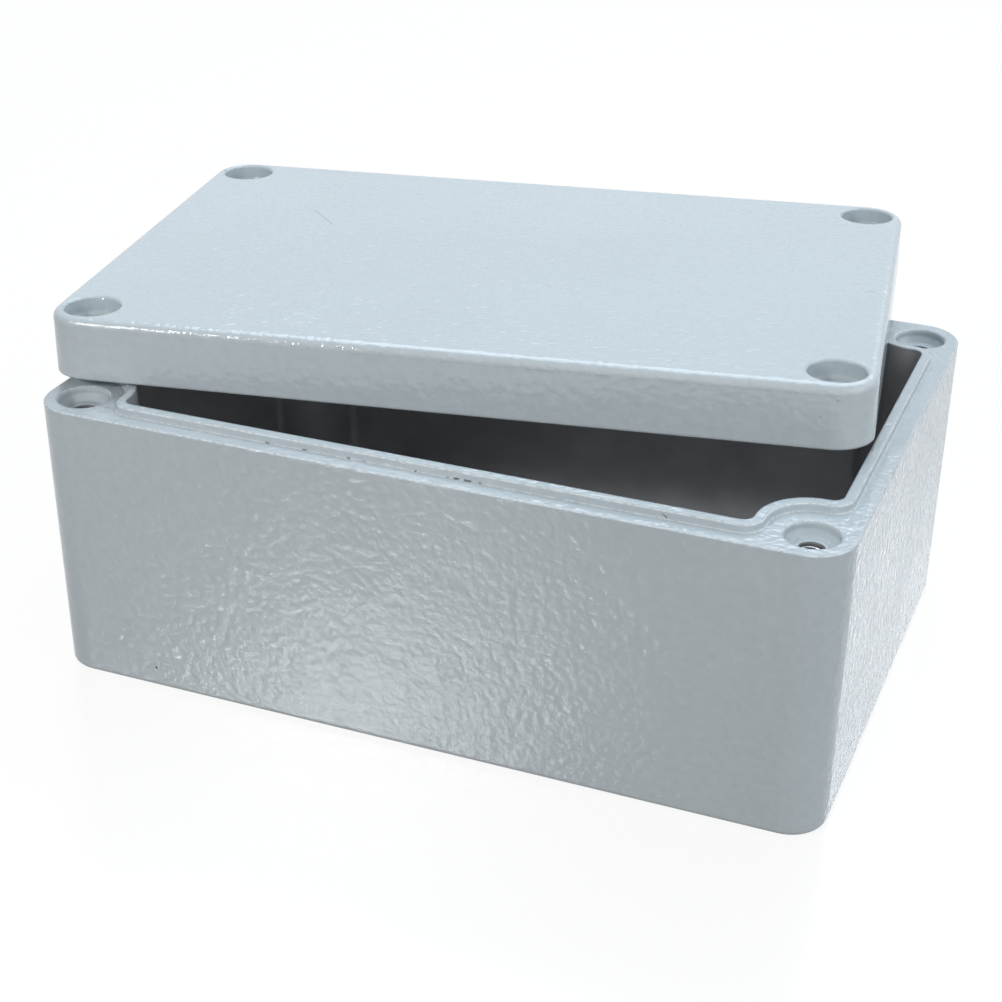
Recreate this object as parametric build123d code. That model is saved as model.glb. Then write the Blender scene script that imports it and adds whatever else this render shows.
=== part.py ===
from build123d import *
import math
import os

os.makedirs("parts", exist_ok=True)

# Overall sizes, in millimetres. Z is up and z = 0 is the underside.
box_length = 160.0
box_width = 107.2
base_height = 58.5  # underside to the flat ledge round the mouth
lid_height = 12.4
corner_radius = 8.0
outer_draft = 0.5  # degrees, so that both castings leave their die

# Edges of the castings.
bottom_edge_radius = 1.2
lid_edge_radius = 1.8

# Sealing lip round the mouth of the base.
ledge_width = 3.35
lip_width = 1.9
lip_height = 1.7
ledge_break = 0.3  # foot of the lip and outer edge of the ledge
lip_top_break = 0.4
lip_blend_radius = 2.2  # inner corner where the lip leaves a straight wall

# Corner screws, which stay outside the sealing lip.
screw_inset = 7.8
boss_radius = 8.3  # outside of the lip where it winds round a screw
recess_radius = 4.8
recess_depth = 2.6
recess_rim_break = 0.5
recess_floor_slope = 1.2
thread_hole_radius = 2.15
thread_hole_depth = 22.0
hole_chamfer = 0.3
drill_point_height = 1.2
cut_margin = 1.0  # how far a cutter stands clear of what it cuts

# Cavity of the base.
floor_thickness = 4.0
cavity_draft = 1.0
cavity_floor_radius = 2.0

# Lid: counterbored screw holes, a groove for the lip, a flange and a hollow.
counterbore_radius = 5.45
counterbore_depth = 3.8
counterbore_rim_break = 0.4
counterbore_floor_slope = 0.7
screw_clearance_radius = 2.6
lip_clearance = 0.35  # each side of the lip in the groove
groove_depth = 3.1
flange_width = 2.0
lid_boss_width = 3.4  # flange where it winds round a screw
lid_plate_thickness = 3.2
hollow_draft = 1.5
hollow_roof_break = 1.0
hollow_blend_radius = 2.4

# Gasket at the bottom of the lid's groove.
gasket_clearance = 0.3  # each side of the gasket in the groove
gasket_thickness = 1.6

# The lid lies loose and askew across the mouth.
lid_turn = 9.2
lid_tip = -1.42
lid_roll = -0.488
lid_shift_x = -11.4
lid_shift_y = 21.3
lid_lift = 1.53  # lid centre above the ledge

screw_x = box_length / 2 - screw_inset
screw_y = box_width / 2 - screw_inset
screw_centres = [
    (-screw_x, -screw_y),
    (screw_x, -screw_y),
    (screw_x, screw_y),
    (-screw_x, screw_y),
]


def outline(shrink, height):
    """Outer outline of the box, moved inwards by shrink, at a height."""
    shape = RectangleRounded(
        box_length - 2 * shrink, box_width - 2 * shrink, corner_radius - shrink
    )
    return Pos(0, 0, height) * shape


def wound_outline(inset, round_screw, blend, height):
    """Straight walls that wind round the inside of the corner screws."""
    shape = Rectangle(box_length - 2 * inset, box_width - 2 * inset)
    for x, y in screw_centres:
        shape -= Pos(x, y) * Circle(round_screw)
    shape = fillet(shape.vertices(), blend)
    return Pos(0, 0, height) * shape


def seal_line(inwards, height):
    """Outside of the sealing lip, moved evenly inwards."""
    blend = lip_blend_radius + lip_width - inwards
    return wound_outline(ledge_width + inwards, boss_radius + inwards, blend, height)


def hollow_line(shrink, height):
    """Mouth of the lid's hollow, moved evenly inwards."""
    groove_side = lip_width + lip_clearance
    inset = ledge_width + groove_side + flange_width + shrink
    round_screw = boss_radius + groove_side + lid_boss_width + shrink
    return wound_outline(inset, round_screw, hollow_blend_radius - shrink, height)


def tapered(section, low, high, low_inwards, high_inwards):
    """Solid between two heights whose outline moves inwards evenly."""
    rise = high - low
    lean = math.degrees(math.atan((high_inwards - low_inwards) / rise))
    return extrude(section(low_inwards, low), rise, taper=lean)


def edges_at(shape, height):
    """Edges that lie flat at one height."""
    found = []
    for edge in shape.edges():
        box = edge.bounding_box()
        if abs(box.min.Z - height) < 0.001 and abs(box.max.Z - height) < 0.001:
            found.append(edge)
    return found


def screw_recess(rim, wall, depth, floor, hole, hole_depth):
    """Turned cutter for a dished recess with a hole at its bottom."""
    profile = Polyline(
        (0, cut_margin),
        (wall + rim, cut_margin),
        (wall + rim, 0),
        (wall, -rim),
        (wall, floor - depth),
        (wall - floor, -depth),
        (hole + hole_chamfer, -depth),
        (hole, -depth - hole_chamfer),
        (hole, -hole_depth),
        (0, -hole_depth - drill_point_height),
        close=True,
    )
    section = make_face(Plane.XZ * profile)
    return revolve(section, Axis.Z)


# Base casting.
outer_shrink = base_height * math.tan(math.radians(outer_draft))
base = tapered(outline, 0, base_height, outer_shrink, 0)
base = fillet(edges_at(base, 0), bottom_edge_radius)
mouth = base_height + lip_height
lip = extrude(seal_line(0, base_height), lip_height)
lip = chamfer(edges_at(lip, mouth), lip_top_break)
base += lip
cavity_depth = mouth - floor_thickness
cavity_shrink = cavity_depth * math.tan(math.radians(cavity_draft))
cavity = tapered(
    seal_line, floor_thickness, mouth, lip_width + cavity_shrink, lip_width
)
cavity = fillet(edges_at(cavity, floor_thickness), cavity_floor_radius)
base -= cavity
base = chamfer(edges_at(base, base_height), ledge_break)
for x, y in screw_centres:
    base -= Pos(x, y, base_height) * screw_recess(
        recess_rim_break,
        recess_radius,
        recess_depth,
        recess_floor_slope,
        thread_hole_radius,
        thread_hole_depth,
    )

# Lid casting, first upright and closed with its rim at z = 0.
lid_shrink = lid_height * math.tan(math.radians(outer_draft))
lid = tapered(outline, 0, lid_height, 0, lid_shrink)
lid = fillet(edges_at(lid, lid_height), lid_edge_radius)
groove_outside = extrude(seal_line(-lip_clearance, 0), groove_depth)
groove_inside = extrude(seal_line(lip_width + lip_clearance, 0), groove_depth)
lid -= groove_outside - groove_inside
hollow_depth = lid_height - lid_plate_thickness
hollow_shrink = hollow_depth * math.tan(math.radians(hollow_draft))
hollow = tapered(hollow_line, 0, hollow_depth, 0, hollow_shrink)
hollow = chamfer(edges_at(hollow, hollow_depth), hollow_roof_break)
lid -= hollow
for x, y in screw_centres:
    lid -= Pos(x, y, lid_height) * screw_recess(
        counterbore_rim_break,
        counterbore_radius,
        counterbore_depth,
        counterbore_floor_slope,
        screw_clearance_radius,
        lid_height + cut_margin,
    )

# Gasket, flat against the bottom of the groove.
gasket_low = groove_depth - gasket_thickness
gasket_outside = seal_line(gasket_clearance - lip_clearance, gasket_low)
gasket_inside = seal_line(lip_width + lip_clearance - gasket_clearance, gasket_low)
gasket = extrude(gasket_outside, gasket_thickness) - extrude(gasket_inside, gasket_thickness)

# The lid and its gasket take the askew pose together.
pose = Pos(lid_shift_x, lid_shift_y, base_height + lid_lift)
pose *= Rot(0, 0, lid_turn)
pose *= Rot(0, lid_roll, 0)
pose *= Rot(lid_tip, 0, 0)
lid = pose * lid
gasket = pose * gasket

nodes = {"base_casting": base, "lid_casting": lid, "lid_gasket": gasket}
for name, shape in nodes.items():
    export_step(shape, f"parts/{name}.step")
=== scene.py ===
import math

import bmesh
import bpy
from mathutils import Matrix, Vector


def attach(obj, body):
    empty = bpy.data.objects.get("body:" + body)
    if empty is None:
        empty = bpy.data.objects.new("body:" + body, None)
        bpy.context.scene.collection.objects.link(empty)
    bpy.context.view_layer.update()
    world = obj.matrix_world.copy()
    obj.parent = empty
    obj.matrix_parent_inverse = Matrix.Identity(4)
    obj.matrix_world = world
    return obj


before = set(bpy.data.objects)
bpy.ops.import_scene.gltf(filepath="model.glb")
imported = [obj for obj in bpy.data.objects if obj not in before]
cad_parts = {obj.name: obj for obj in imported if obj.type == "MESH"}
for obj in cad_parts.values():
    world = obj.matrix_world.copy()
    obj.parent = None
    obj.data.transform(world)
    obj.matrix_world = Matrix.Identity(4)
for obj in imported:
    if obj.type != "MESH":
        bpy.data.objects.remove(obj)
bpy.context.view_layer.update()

print("frame loaded:", len(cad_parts), "nodes")

mm = 0.001
rootBody = "root"

# The castings' own sizes in millimetres, as far as the finish has to follow them
castingSizes = {
    "halfLength": 80.0,
    "halfWidth": 53.6,
    "ledgeHeight": 58.5,
    "lipTop": 60.2,
    "lipInside": 5.25,  # inset of the lip's inner wall from the side
    "screwInset": 7.8,
    "bossInside": 10.2,  # radius of the lip's inner wall round a screw
    "recessDepth": 2.6,
    "holeRadius": 2.15,
    "lidHeight": 12.4,
    "lidRoof": 9.2,  # rim to the inside of the lid's plate
    "grooveInset": 3.0,
    "grooveBoss": 7.95,
}

# How the lid lies: turned, rolled and tipped, then moved
lidPose = {
    "shift": (-11.4, 21.3, 60.03),
    "tip": -1.42,
    "roll": -0.488,
    "turn": 9.2,
}


class Wire:  # one node socket, so that shader maths reads as plain sums
    def __init__(self, nodes, socket):
        self.nodes = nodes
        self.socket = socket

    def maths(self, operation, *others):
        sockets = dict(enumerate((self, *others)))
        return self.nodes.add("ShaderNodeMath", {"operation": operation}, sockets)

    def __add__(self, other):
        return self.maths("ADD", other)

    def __radd__(self, other):
        return self.maths("ADD", other)

    def __sub__(self, other):
        return self.maths("SUBTRACT", other)

    def __rsub__(self, other):
        sockets = {0: other, 1: self}
        return self.nodes.add("ShaderNodeMath", {"operation": "SUBTRACT"}, sockets)

    def __mul__(self, other):
        return self.maths("MULTIPLY", other)

    def __pow__(self, other):
        return self.maths("POWER", other)

    def __abs__(self):
        return self.maths("ABSOLUTE")

    def atLeast(self, other):
        return self.maths("MAXIMUM", other)

    def atMost(self, other):
        return self.maths("MINIMUM", other)

    def rise(self, low, high):  # 0 below low, 1 above high, smooth between
        settings = {"interpolation_type": "SMOOTHSTEP"}
        sockets = {"Value": self, "From Min": low, "From Max": high}
        return self.nodes.add("ShaderNodeMapRange", settings, sockets)

    def fall(self, low, high):
        return 1 - self.rise(low, high)


class Nodes:  # the node tree of one material or world
    def __init__(self, tree):
        self.tree = tree
        tree.nodes.clear()

    def add(self, kind, settings=None, sockets=None, output=0):
        node = self.tree.nodes.new(kind)
        for name, value in (settings or {}).items():
            setattr(node, name, value)
        for name, value in (sockets or {}).items():
            self.plug(value, node.inputs[name])
        return Wire(self, node.outputs[output]) if len(node.outputs) else None

    def plug(self, value, socket):
        if isinstance(value, Wire):
            self.tree.links.new(value.socket, socket)
        else:
            socket.default_value = value

    def blendColour(self, share, first, second):
        sockets = {0: share, 6: first, 7: second}  # 6 and 7 take colours
        return self.add("ShaderNodeMix", {"data_type": "RGBA"}, sockets, 2)

    def vectorMaths(self, operation, first, second, output=0):
        sockets = {0: first, 1: second}
        return self.add("ShaderNodeVectorMath", {"operation": operation}, sockets, output)

    def scaled(self, vector, factor):
        sockets = {0: vector, "Scale": factor}
        return self.add("ShaderNodeVectorMath", {"operation": "SCALE"}, sockets)

    def placeInMm(self):
        place = self.add("ShaderNodeTexCoord", output="Object")
        return self.scaled(place, 1 / mm)

    def axes(self, vector):
        split = self.add("ShaderNodeSeparateXYZ", sockets={0: vector})
        node = split.socket.node
        return [Wire(self, socket) for socket in node.outputs]

    def noise(self, place, size, detail=2.0):
        sockets = {"Vector": place, "Scale": 1 / size, "Detail": detail}
        return self.add("ShaderNodeTexNoise", sockets=sockets)

    def wander(self, place, size):  # a smooth vector, each part near 0.5
        sockets = {"Vector": place, "Scale": 1 / size, "Detail": 0.0}
        return self.add("ShaderNodeTexNoise", sockets=sockets, output=1)

    def bevelled(self, radius, samples):
        sockets = {"Radius": radius * mm}
        return self.add("ShaderNodeBevel", {"samples": samples}, sockets)

    def surface(self, sockets):  # a Principled shader, led to the material's output
        shader = self.add("ShaderNodeBsdfPrincipled", sockets=sockets)
        self.add("ShaderNodeOutputMaterial", sockets={"Surface": shader})


def newMaterial(name):
    material = bpy.data.materials.new(name)
    material.use_nodes = True
    return material, Nodes(material.node_tree)


def solidColour(colour):
    return (*colour, 1)


def solidPair(look, first, second):
    return solidColour(look[first]), solidColour(look[second])


# Powder coat over the outside of both castings
coatLook = {
    "colour": (0.382, 0.434, 0.458),  # in the valleys of the peel
    "pale": (0.442, 0.497, 0.522),  # on its crests
    "baseTone": 0.38,  # general share of the pale colour
    "lidTone": 0.7,
    "peelTone": 0.7,
    "cloud": 0.15,
    "cloudSize": 38.0,
    "patchSpan": (0.35, 0.7),  # values of the noise between which a patch comes in
    "cloudRoughness": 0.05,
    "roughness": 0.13,
    "ior": 1.5,
    "peelSize": 1.75,  # spacing of the dimples
    "wanderSize": 2.2,  # bends the dimples out of their even rows
    "wanderReach": 0.9,
    "peelHeight": 0.098,
    "rippleSize": 1.1,
    "rippleHeight": 0.06,
    "rippleTone": 0.3,
    "beadSize": 0.7,  # the coat draws up into fine beads along an edge
    "beadHeight": 0.06,
    "paintedGlint": (0.80, 0.83, 0.85),  # painted highlight: pale beaded lines along the edges stand in for the lamps' glints
    "paintedGlintShare": 0.42,
    "paintedGlintSpan": (0.25, 0.65),
    "swellSize": 9.0,
    "swellHeight": 0.07,
    "edgeRadius": 0.6,
    "edgeSamples": 4,
}

# Bare casting skin, inside the box and in the screw holes
castLook = {
    "colour": (0.40, 0.405, 0.42),
    "pale": (0.48, 0.485, 0.50),
    "patchSize": 14.0,
    "metallic": 0.6,
    "roughness": 0.6,
    "grainHeight": 0.01,
}


def screwPlace():  # of the rear right corner screw, in plan
    size = castingSizes
    return size["halfLength"] - size["screwInset"], size["halfWidth"] - size["screwInset"]


def cornerDistance(x, y):  # from the nearest corner screw, in plan
    screwX, screwY = screwPlace()
    across = abs(x) - screwX
    along = abs(y) - screwY
    return (across ** 2 + along ** 2) ** 0.5


def insideLine(x, y, inset, roundScrew, slack=0.15):  # 1 inside a wound outline
    size = castingSizes
    pastLength = abs(x) - (size["halfLength"] - inset)
    pastWidth = abs(y) - (size["halfWidth"] - inset)
    pastScrew = roundScrew - cornerDistance(x, y)
    past = pastLength.atLeast(pastWidth).atLeast(pastScrew)
    return past.fall(0, slack)


def coatHeight(nodes, place, beads, peelShare, rippleShare, beadShare):
    look = coatLook
    wander = nodes.scaled(nodes.wander(place, look["wanderSize"]), look["wanderReach"])
    moved = nodes.vectorMaths("ADD", place, wander)
    peel = nodes.noise(moved, look["peelSize"], detail=0.5)
    ripple = nodes.noise(place, look["rippleSize"], detail=0.5)
    swell = nodes.noise(place, look["swellSize"], detail=0)
    height = peel * peelShare * look["peelHeight"]
    height = height + ripple * rippleShare * look["rippleHeight"]
    height = height + beads * beadShare * look["beadHeight"]
    tone = (peel - 0.5) * peelShare + (ripple - 0.5) * (rippleShare - 1) * look["rippleTone"]
    return height + swell * look["swellHeight"], tone * look["peelTone"]


# How the small faults in the coat look, and the dark used as painted shade in the screw holes
wearLook = {
    # dark of pits and chips, also painted as shade in the screw holes
    "pitAndShadeColour": (0.07, 0.074, 0.078),
    "scuffColour": (0.21, 0.23, 0.24),
    "nibHeight": 0.14,  # grit under the coat
    "softness": 0.1,
    "ragged": 0.35,  # how far noise moves the outline of a mark
    "raggedSize": 0.6,
    "lineCore": 0.4,  # share of a line's width that is solid
}

# Where the faults of the base are, in millimetres
lipFoot = {"y": -50.3, "z": 58.6}  # the coat has chipped along it, at the front
lipChips = [  # place along x, half length, half height
    (-29.7, 0.40, 0.19),
    (-22.1, 0.50, 0.16),
    (-13.0, 0.15, 0.20),
    (-9.9, 0.15, 0.17),
    (0.3, 0.12, 0.16),
    (6.7, 0.12, 0.17),
    (8.3, 0.50, 0.24),
    (10.5, 0.60, 0.25),
    (12.9, 0.20, 0.17),
    (20.1, 0.12, 0.13),
]

basePits = [  # place, radius
    ((63.4, -45.1, 59.0), 0.24),
    ((72.85, -51.85, 58.5), 0.18),
    ((76.05, -53.09, 58.4), 0.18),
    ((-56.44, -53.13, 4.55), 0.28),
    ((66.36, -53.44, 40.29), 0.07),
    ((61.74, -53.23, 15.89), 0.07),
]
baseGouge = ((46.89, -50.25, 59.39), (48.01, -50.25, 58.45), 0.15)
baseNibs = [
    ((78.51, -53.41, 36.84), 0.40),
    ((77.63, -53.49, 46.11), 0.35),
    ((77.39, -53.13, 5.07), 0.45),
]

# Where the faults of the lid are, in its own frame
lidPits = [  # place, radius
    ((70.15, -53.55, 6.29), 0.09),
    ((73.44, -53.55, 5.12), 0.12),
    ((-30.26, -53.55, 6.19), 0.08),
    ((-53.61, -53.5, 10.34), 0.07),
    ((-25.56, -53.5, 10.95), 0.08),
    ((40.87, 36.84, 12.4), 0.1),
]
lidNick = ((74.7, -3.4, 12.4), (77.0, -3.0, 12.3), 0.13)
lidNibs = [((73.15, -53.5, 9.9), 0.4), ((75.9, -2.4, 12.35), 0.3)]
lidScratch = [  # start, end, half width, strength
    ((-53.87, 27.16, 12.4), (-47.71, 21.15, 12.4), 0.12, 0.35),
    ((-47.71, 21.15, 12.4), (-41.53, 13.21, 12.4), 0.14, 0.8),
]

# Heights of the base's edges that carry the painted highlight lines, with half the width of
# each
paintedGlintEdges = [(58.37, 0.13), (58.62, 0.10), (59.96, 0.13)]


def mostOf(masks):
    most = masks[0]
    for mask in masks[1:]:
        most = most.atLeast(mask)
    return most


def raggedPlace(nodes, place):
    middle = (0.5, 0.5, 0.5)
    shake = nodes.vectorMaths("SUBTRACT", nodes.wander(place, wearLook["raggedSize"]), middle)
    return nodes.vectorMaths("ADD", place, nodes.scaled(shake, wearLook["ragged"]))


def spot(nodes, place, centre, radius, stretch=1.0):  # stretch lengthens it along x
    soft = wearLook["softness"]
    squeezed = nodes.vectorMaths("MULTIPLY", place, (1 / stretch, 1, 1))
    middle = (centre[0] / stretch, centre[1], centre[2])
    distance = nodes.vectorMaths("DISTANCE", squeezed, middle, output=1)
    return distance.fall(radius - soft, radius + soft)


def nib(nodes, place, centre, radius):  # a smooth little dome
    distance = nodes.vectorMaths("DISTANCE", place, centre, output=1)
    return distance.fall(0, radius)


def line(nodes, place, start, end, halfWidth):
    along = Vector(end) - Vector(start)
    fromStart = nodes.vectorMaths("SUBTRACT", place, start)
    share = nodes.vectorMaths("DOT_PRODUCT", fromStart, along / along.length_squared, 1)
    nearest = nodes.scaled(along, share.atLeast(0).atMost(1))
    distance = nodes.vectorMaths("DISTANCE", fromStart, nearest, output=1)
    return distance.fall(halfWidth * wearLook["lineCore"], halfWidth)


# masks of the painted highlight lines along the base's edges
def paintedGlintLines(z):
    core = wearLook["lineCore"]
    return mostOf([abs(z - height).fall(half * core, half) for height, half in paintedGlintEdges])


def finishCasting(nodes, place, bare, marks, shares, middle):
    look = coatLook
    cast = castLook
    wear = wearLook
    cloud = nodes.noise(place, look["cloudSize"], detail=1.0).rise(*look["patchSpan"])
    beads = nodes.noise(place, look["beadSize"], detail=0)
    height, tone = coatHeight(nodes, place, beads, *shares)
    pale = (cloud - 0.5) * look["cloud"] + tone + middle
    coat = nodes.blendColour(pale, *solidPair(look, "colour", "pale"))
    # painted highlight: pale beaded lines along the edges stand in for the lamps' glints
    if "paintedGlint" in marks:
        paintedGlint = marks["paintedGlint"] * beads.rise(*look["paintedGlintSpan"]) * look["paintedGlintShare"]
        coat = nodes.blendColour(paintedGlint, coat, solidColour(look["paintedGlint"]))
    coat = nodes.blendColour(marks["scuffs"], coat, solidColour(wear["scuffColour"]))
    patch = nodes.noise(place, cast["patchSize"], detail=2.0).rise(*look["patchSpan"])
    skin = nodes.blendColour(patch, *solidPair(cast, "colour", "pale"))
    # painted shade darkens the base's screw holes; under the lid the same blend lays grease
    # stains
    skin = nodes.blendColour(marks["paintedShadeAndGrease"], skin, solidColour(wear["pitAndShadeColour"]))
    colour = nodes.blendColour(bare, coat, skin)
    colour = nodes.blendColour(marks["pits"], colour, solidColour(wear["pitAndShadeColour"]))
    relief = height * (1 - bare) + beads * bare * cast["grainHeight"]
    relief = relief + marks["nibs"] * wear["nibHeight"]
    rounded = nodes.bevelled(look["edgeRadius"], look["edgeSamples"])
    sockets = {"Height": relief, "Distance": mm, "Normal": rounded}
    normal = nodes.add("ShaderNodeBump", sockets=sockets)
    dull = bare.atLeast(marks["pits"])
    rough = dull * (cast["roughness"] - look["roughness"]) + look["roughness"]
    sockets = {
        "Base Color": colour,
        "Metallic": bare * cast["metallic"],
        "Roughness": rough + (cloud - 0.5) * look["cloudRoughness"],
        "IOR": look["ior"],
        "Normal": normal,
    }
    nodes.surface(sockets)


# Where the base's coat changes, as distances below or inside a level, and by how much
baseLook = {
    "cavityRim": (0.5, 0.35),
    "holeRim": (-0.25, -0.4),
    "holeMouth": (0.2, 0.05),
    "ledge": (0.6, 0.1),
    "endWall": (1.8, 0.6),
    "ledgePeel": -0.1,  # this and the next three change the shares of peel and ripple
    "endPeel": 0.7,
    "ledgeRipple": 0.8,
    "endRipple": 1.5,
    "gougeScuff": 0.5,
    # painted shade: how far the bare screw holes are darkened
    "holePaintedShade": 0.75,
}


def upTo(value, level, span):  # comes in between two distances below a level
    far, near = span
    return value.rise(level - far, level - near)


def baseFinish():
    size = castingSizes
    look = baseLook
    material, nodes = newMaterial("baseFinish")
    place = nodes.placeInMm()
    x, y, z = nodes.axes(place)
    inside = insideLine(x, y, size["lipInside"], size["bossInside"])
    cavity = inside * (1 - upTo(z, size["lipTop"], look["cavityRim"]))
    corner = cornerDistance(x, y)
    hole = 1 - upTo(corner, size["holeRadius"], look["holeRim"])
    recessFloor = size["ledgeHeight"] - size["recessDepth"]
    hole = hole * (1 - upTo(z, recessFloor, look["holeMouth"]))
    bare = cavity.atLeast(hole)
    onTop = upTo(z, size["ledgeHeight"], look["ledge"])
    onEnd = upTo(abs(x), size["halfLength"], look["endWall"]) * (1 - onTop)
    ragged = raggedPlace(nodes, place)
    pits = [spot(nodes, ragged, centre, radius) for centre, radius in basePits]
    for along, halfLength, halfHeight in lipChips:
        centre = (along, lipFoot["y"], lipFoot["z"])
        stretch = (halfLength + halfHeight) / halfHeight
        pits.append(spot(nodes, ragged, centre, halfHeight, stretch))
    gouge = line(nodes, ragged, *baseGouge)
    nibs = mostOf([nib(nodes, place, centre, radius) for centre, radius in baseNibs])
    marks = {
        "pits": mostOf(pits + [gouge]),
        "scuffs": gouge * look["gougeScuff"],
        "nibs": nibs,
        # painted shade in the screw holes
        "paintedShadeAndGrease": hole * look["holePaintedShade"],
        # painted highlight lines along the ledge's and lip's edges
        "paintedGlint": paintedGlintLines(z),
    }
    peelShare = 1 + onEnd * look["endPeel"] + onTop * look["ledgePeel"]
    rippleShare = 1 + onTop * look["ledgeRipple"] + onEnd * look["endRipple"]
    shares = (peelShare, rippleShare, onTop)
    finishCasting(nodes, place, bare, marks, shares, coatLook["baseTone"])
    return material


# The same for the lid, in its own frame, with the grease stains under it
lidLook = {
    "hollowRoof": (-0.1, -0.3),
    "flatTop": (1.2, 0.1),
    "topEdge": (2.2, 1.6),
    "edgeInset": 1.6,
    "edgeSlack": 0.8,
    "greaseSize": 6.0,
    "greaseSpan": (0.55, 0.8),
    "greaseShare": 0.3,
    "topPeel": -0.45,
    "topRipple": 1.7,
}


def lidFinish():
    size = castingSizes
    look = lidLook
    material, nodes = newMaterial("lidFinish")
    world = nodes.placeInMm()
    turns = [math.radians(lidPose[name]) for name in ("tip", "roll", "turn")]
    sockets = {"Vector": world, "Location": lidPose["shift"], "Rotation": turns}
    place = nodes.add("ShaderNodeMapping", {"vector_type": "TEXTURE"}, sockets)
    x, y, z = nodes.axes(place)
    underside = insideLine(x, y, size["grooveInset"], size["grooveBoss"])
    bare = underside * (1 - upTo(z, size["lidRoof"], look["hollowRoof"]))
    onTop = upTo(z, size["lidHeight"], look["flatTop"])
    edge = upTo(z, size["lidHeight"], look["topEdge"])
    edge = edge * (1 - insideLine(x, y, look["edgeInset"], 0, look["edgeSlack"]))
    ragged = raggedPlace(nodes, place)
    pits = [spot(nodes, ragged, centre, radius) for centre, radius in lidPits]
    pits.append(line(nodes, ragged, *lidNick))
    nibs = mostOf([nib(nodes, place, centre, radius) for centre, radius in lidNibs])
    scratch = [line(nodes, place, *mark[:3]) * mark[3] for mark in lidScratch]
    grease = nodes.noise(place, look["greaseSize"], detail=2.0).rise(*look["greaseSpan"])
    grease = grease * look["greaseShare"]
    marks = {"pits": mostOf(pits), "scuffs": mostOf(scratch), "nibs": nibs, "paintedShadeAndGrease": grease}
    shares = (1 + onTop * look["topPeel"], 1 + onTop * look["topRipple"], edge)
    finishCasting(nodes, place, bare, marks, shares, coatLook["lidTone"])
    return material


# Black rubber of the gasket, with dust on it
gasketLook = {
    "colour": (0.025, 0.025, 0.028),
    "dusty": (0.06, 0.06, 0.062),
    "dustSize": 2.5,
    "dustSpan": (0.45, 0.8),
    "poreSize": 0.25,
    "poreHeight": 0.01,
    "roughness": 0.6,
    "dustRoughness": 0.15,
}


def gasketFinish():
    look = gasketLook
    material, nodes = newMaterial("gasketFinish")
    place = nodes.placeInMm()
    dust = nodes.noise(place, look["dustSize"], detail=4.0).rise(*look["dustSpan"])
    colour = nodes.blendColour(dust, *solidPair(look, "colour", "dusty"))
    pores = nodes.noise(place, look["poreSize"]) * look["poreHeight"]
    sockets = {"Height": pores, "Distance": mm}
    normal = nodes.add("ShaderNodeBump", sockets=sockets)
    rough = dust * look["dustRoughness"] + look["roughness"]
    sockets = {"Base Color": colour, "Roughness": rough, "Normal": normal}
    nodes.surface(sockets)
    return material


def dressNode(name, material):
    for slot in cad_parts[name].material_slots:
        slot.material = material


dressNode("base_casting", baseFinish())
dressNode("lid_casting", lidFinish())
dressNode("lid_gasket", gasketFinish())
print("castings and gasket finished")

# Threads cut in the four holes of the base
threadLook = {
    "pitch": 0.8,
    "turns": 16,
    "stepsPerTurn": 32,
    "rootRadius": 2.2,  # just behind the wall of the hole
    "crestRadius": 1.9,
    "firstDepth": 3.1,  # of the first turn below the ledge
    "leadSteps": 12,  # over which the first and last turn run out
    "footHalf": 0.38,  # half the ridge's height at its foot, as a share of the pitch
    "crestHalf": 0.08,
    "stainSize": 0.9,
    "stainSpan": (0.4, 0.7),
    "grainSize": 0.12,
    "grainHeight": 0.01,
    "roughness": 0.3,
    "stainRoughness": 0.2,
    "colour": (0.62, 0.625, 0.635),
    "dark": (0.20, 0.202, 0.206),
}


def threadFinish():
    look = threadLook
    material, nodes = newMaterial("threadFinish")
    place = nodes.placeInMm()
    stain = nodes.noise(place, look["stainSize"], detail=4.0).rise(*look["stainSpan"])
    colour = nodes.blendColour(stain, *solidPair(look, "colour", "dark"))
    grain = nodes.noise(place, look["grainSize"]) * look["grainHeight"]
    normal = nodes.add("ShaderNodeBump", sockets={"Height": grain, "Distance": mm})
    rough = stain * look["stainRoughness"] + look["roughness"]
    sockets = {"Base Color": colour, "Roughness": rough, "Metallic": 1.0, "Normal": normal}
    nodes.surface(sockets)
    return material


def threadRing(form, step, steps):  # the ridge's section at one step of the helix
    look = threadLook
    angle = -2 * math.pi * step / look["stepsPerTurn"]  # right-handed
    share = min(1, step / look["leadSteps"], (steps - step) / look["leadSteps"])
    crest = look["rootRadius"] + (look["crestRadius"] - look["rootRadius"]) * share
    depth = look["firstDepth"] + look["pitch"] * step / look["stepsPerTurn"]
    corners = []
    foot = (look["rootRadius"], look["footHalf"])
    top = (crest, look["crestHalf"])
    for radius, rise in (foot, top, (top[0], -top[1]), (foot[0], -foot[1])):
        height = rise * look["pitch"] - depth
        point = Vector((radius * math.cos(angle), radius * math.sin(angle), height))
        corners.append(form.verts.new(point * mm))
    return corners


def makeThread(name, x, y, material):
    look = threadLook
    steps = look["turns"] * look["stepsPerTurn"]
    form = bmesh.new()
    rings = [threadRing(form, step, steps) for step in range(steps + 1)]
    for first, second in zip(rings, rings[1:]):
        for corner in range(4):
            after = (corner + 1) % 4
            form.faces.new((first[corner], first[after], second[after], second[corner]))
    form.faces.new(rings[0])
    form.faces.new(reversed(rings[-1]))
    bmesh.ops.recalc_face_normals(form, faces=form.faces)
    mouth = Vector((x, y, castingSizes["ledgeHeight"])) * mm
    bmesh.ops.translate(form, verts=form.verts, vec=mouth)
    for face in form.faces:
        face.smooth = True
    mesh = bpy.data.meshes.new(name)
    form.to_mesh(mesh)
    form.free()
    mesh.materials.append(material)
    thread = bpy.data.objects.new(name, mesh)
    bpy.context.scene.collection.objects.link(thread)
    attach(thread, rootBody)


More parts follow.
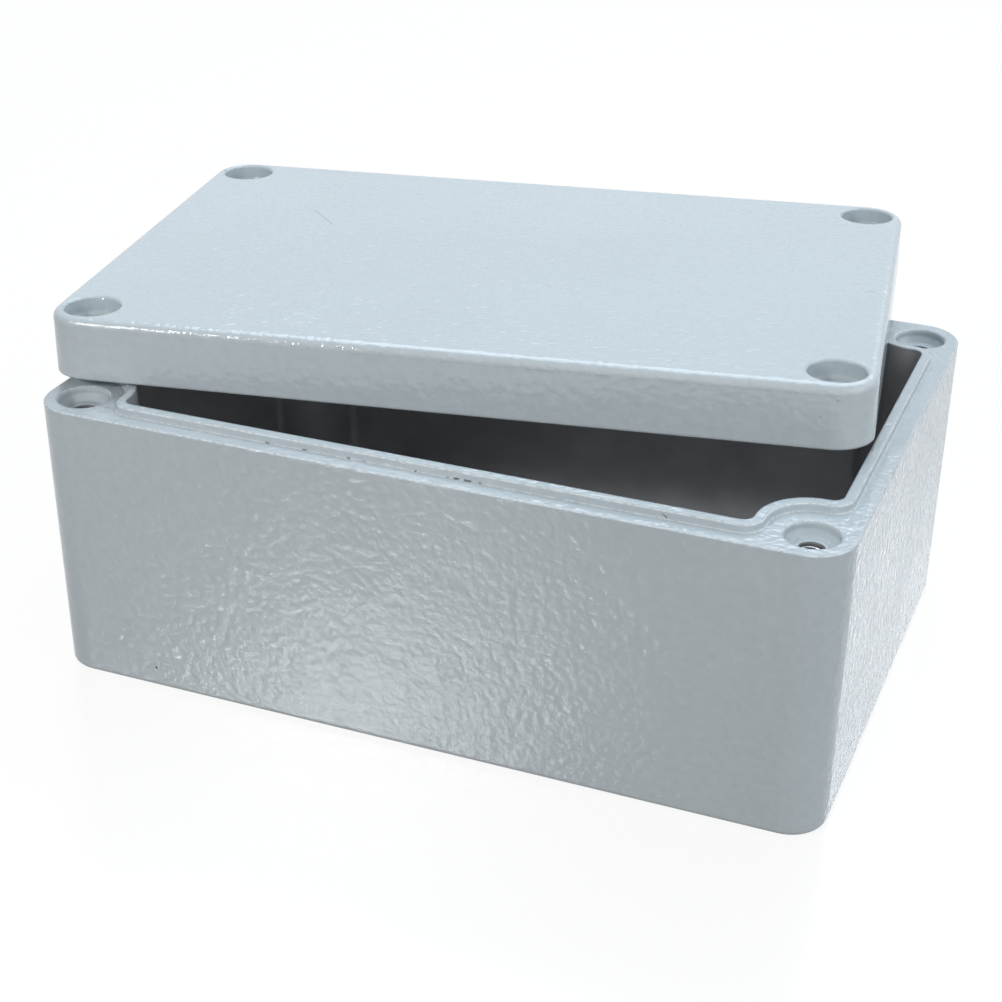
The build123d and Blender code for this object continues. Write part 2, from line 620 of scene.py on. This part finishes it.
def makeThreads():
    screwX, screwY = screwPlace()
    material = threadFinish()
    for end, y in (("front", -screwY), ("rear", screwY)):
        for side, x in (("left", -screwX), ("right", screwX)):
            makeThread(f"thread_{end}_{side}", x, y, material)


makeThreads()
print("threads cut")

# Floor, background and lamps, in metres and watts
studio = {
    "floorReach": 6.0,
    "floorColour": (0.8, 0.8, 0.8),
    "floorFill": 0.2,  # even light that it throws back on the box
    "floorRoughness": 0.21,
    "floorIor": 4.6,
    "cameraShare": 0.9,  # how much of the floor the camera sees as plain white
    "glossyShare": 0.4,
    "ambient": 0.15,
    "aimHeight": 0.035,  # of the point that all lamps face
}

lamps = {
    "keyLamp": {
        "azimuth": -25,
        "elevation": 31,
        "distance": 0.8,
        "size": (0.16, 0.045),
        "power": 2.2,
        "tint": (1, 1, 1),
    },
    "leftStrip": {
        "azimuth": -37,
        "elevation": 31,
        "distance": 0.8,
        "size": (0.24, 0.02),
        "power": 0.5,
        "tint": (1, 1, 1),
    },
    "frontPanel": {
        "azimuth": 47,
        "elevation": 26,
        "distance": 1.4,
        "size": (3.2, 1.4),
        "power": 13.8,
        "tint": (1, 1, 1),
    },
    "rightPanel": {
        "azimuth": 96,
        "elevation": 22,
        "distance": 0.9,
        "size": (1.1, 0.8),
        "power": 2.7,
        "tint": (0.90, 1, 1.10),
    },
    "backLamp": {
        "azimuth": 171,
        "elevation": 28,
        "distance": 0.9,
        "size": (0.12, 0.12),
        "power": 0.2,
        "tint": (0.97, 1, 1.03),
    },
    "topPanel": {
        "azimuth": 184,
        "elevation": 60,
        "distance": 0.9,
        "size": (0.9, 0.8),
        "power": 7.9,
        "tint": (0.88, 1, 1.12),
    },
}


def towards(azimuth, elevation):  # azimuth 0 is in front, 90 to the right
    a = math.radians(azimuth)
    e = math.radians(elevation)
    return Vector((math.sin(a) * math.cos(e), -math.cos(a) * math.cos(e), math.sin(e)))


def seenRays(nodes, cameraShare, glossyShare):
    path = nodes.add("ShaderNodeLightPath").socket.node
    camera = Wire(nodes, path.outputs["Is Camera Ray"])
    glossy = Wire(nodes, path.outputs["Is Glossy Ray"])
    through = Wire(nodes, path.outputs["Is Transmission Ray"])
    return (camera * cameraShare + glossy * glossyShare + through).atMost(1)


def makeFloor():
    reach = studio["floorReach"]
    mesh = bpy.data.meshes.new("floor")
    corners = [(-reach, -reach, 0), (reach, -reach, 0), (reach, reach, 0), (-reach, reach, 0)]
    mesh.from_pydata(corners, [], [(0, 1, 2, 3)])
    floor = bpy.data.objects.new("floor", mesh)
    bpy.context.scene.collection.objects.link(floor)
    material, nodes = newMaterial("paleFloor")
    sockets = {
        "Base Color": solidColour(studio["floorColour"]),
        "Roughness": studio["floorRoughness"],
        "IOR": studio["floorIor"],
    }
    lit = nodes.add("ShaderNodeBsdfPrincipled", sockets=sockets)
    white = nodes.add("ShaderNodeEmission", sockets={"Strength": 1.0})
    share = seenRays(nodes, studio["cameraShare"], studio["glossyShare"])
    shown = nodes.add("ShaderNodeMixShader", sockets={0: share, 1: lit, 2: white})
    fill = nodes.add("ShaderNodeEmission", sockets={"Strength": studio["floorFill"]})
    path = nodes.add("ShaderNodeLightPath").socket.node
    fromCoat = Wire(nodes, path.outputs["Is Diffuse Ray"])
    shown = nodes.add("ShaderNodeMixShader", sockets={0: fromCoat, 1: shown, 2: fill})
    nodes.add("ShaderNodeOutputMaterial", sockets={"Surface": shown})
    mesh.materials.append(material)


def makeWorld():
    world = bpy.data.worlds.new("studio")
    bpy.context.scene.world = world
    world.use_nodes = True
    nodes = Nodes(world.node_tree)
    share = seenRays(nodes, 1, 1)
    strength = share * (1 - studio["ambient"]) + studio["ambient"]
    sockets = {"Color": solidColour((1, 1, 1)), "Strength": strength}
    shader = nodes.add("ShaderNodeBackground", sockets=sockets)
    nodes.add("ShaderNodeOutputWorld", sockets={"Surface": shader})


def makeLamps():
    middle = Vector((0, 0, studio["aimHeight"]))
    for name, lamp in lamps.items():
        light = bpy.data.lights.new(name, "AREA")
        light.shape = "RECTANGLE"
        light.size, light.size_y = lamp["size"]
        light.energy = lamp["power"]
        light.color = lamp["tint"]
        away = towards(lamp["azimuth"], lamp["elevation"])
        item = bpy.data.objects.new(name, light)
        item.location = middle + away * lamp["distance"]
        item.rotation_mode = "QUATERNION"
        item.rotation_quaternion = away.to_track_quat("Z", "Y")
        bpy.context.scene.collection.objects.link(item)


# The photograph's own view
viewpoint = {
    "azimuth": 21.81,
    "elevation": 27.822,
    "roll": 0.346,
    "distance": 410.9 * mm,
    "target": (-3.25 * mm, 0, 27.28 * mm),
    "focalPixels": 1965.91,
    "pictureWidth": 1002,
    "sensorWidth": 36.0,
    "nearest": 0.01,
    "farthest": 50,
}


def makeCamera():
    look = viewpoint
    data = bpy.data.cameras.new("camera")
    data.sensor_width = look["sensorWidth"]
    data.lens = look["focalPixels"] / look["pictureWidth"] * look["sensorWidth"]
    data.clip_start = look["nearest"]
    data.clip_end = look["farthest"]
    camera = bpy.data.objects.new("camera", data)
    bpy.context.scene.collection.objects.link(camera)
    away = towards(look["azimuth"], look["elevation"])
    right = (-away).cross(Vector((0, 0, 1))).normalized()
    up = right.cross(-away)
    roll = math.radians(look["roll"])
    rolledRight = right * math.cos(roll) + up * math.sin(roll)
    rolledUp = up * math.cos(roll) - right * math.sin(roll)
    turn = Matrix((rolledRight, rolledUp, away)).transposed()
    place = Vector(look["target"]) + away * look["distance"]
    camera.matrix_world = Matrix.Translation(place) @ turn.to_4x4()
    bpy.context.scene.camera = camera


makeFloor()
makeWorld()
makeLamps()
makeCamera()
bpy.context.scene.view_settings.view_transform = "Standard"
print("stage, lamps and camera in place")
